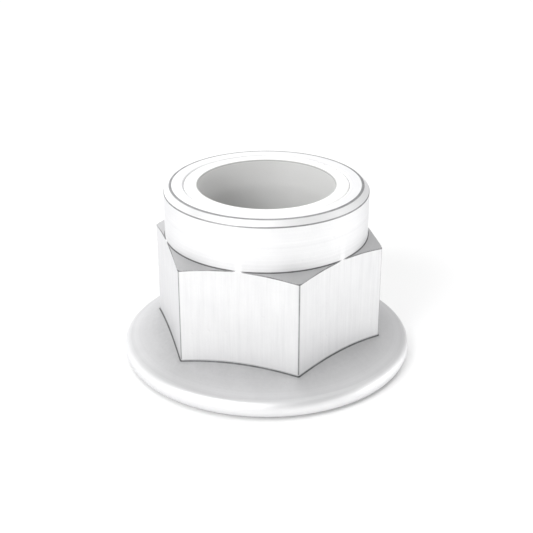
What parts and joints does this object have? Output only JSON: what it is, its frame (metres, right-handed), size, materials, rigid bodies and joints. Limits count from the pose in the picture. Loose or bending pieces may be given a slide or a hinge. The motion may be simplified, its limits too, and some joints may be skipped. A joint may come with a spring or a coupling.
{
  "type": "flange lock nut",
  "caption": "Hexagon nut with a round cone-topped flange and a collar that holds a nylon locking ring under its rolled lip.",
  "frame": {"origin": "centre of the flange's bearing face, on the thread axis", "axes": "+Z along the thread axis, from the bearing face to the nylon ring; +X square to one of the six flats"},
  "size_m": [0.026, 0.026, 0.0161],
  "materials": {
    "zinc_plated_steel": "satin",
    "natural_nylon": "satin"
  },
  "bodies": {
    "root": {"nut_body": "zinc_plated_steel", "locking_ring": "natural_nylon"}
  },
  "joints": []
}
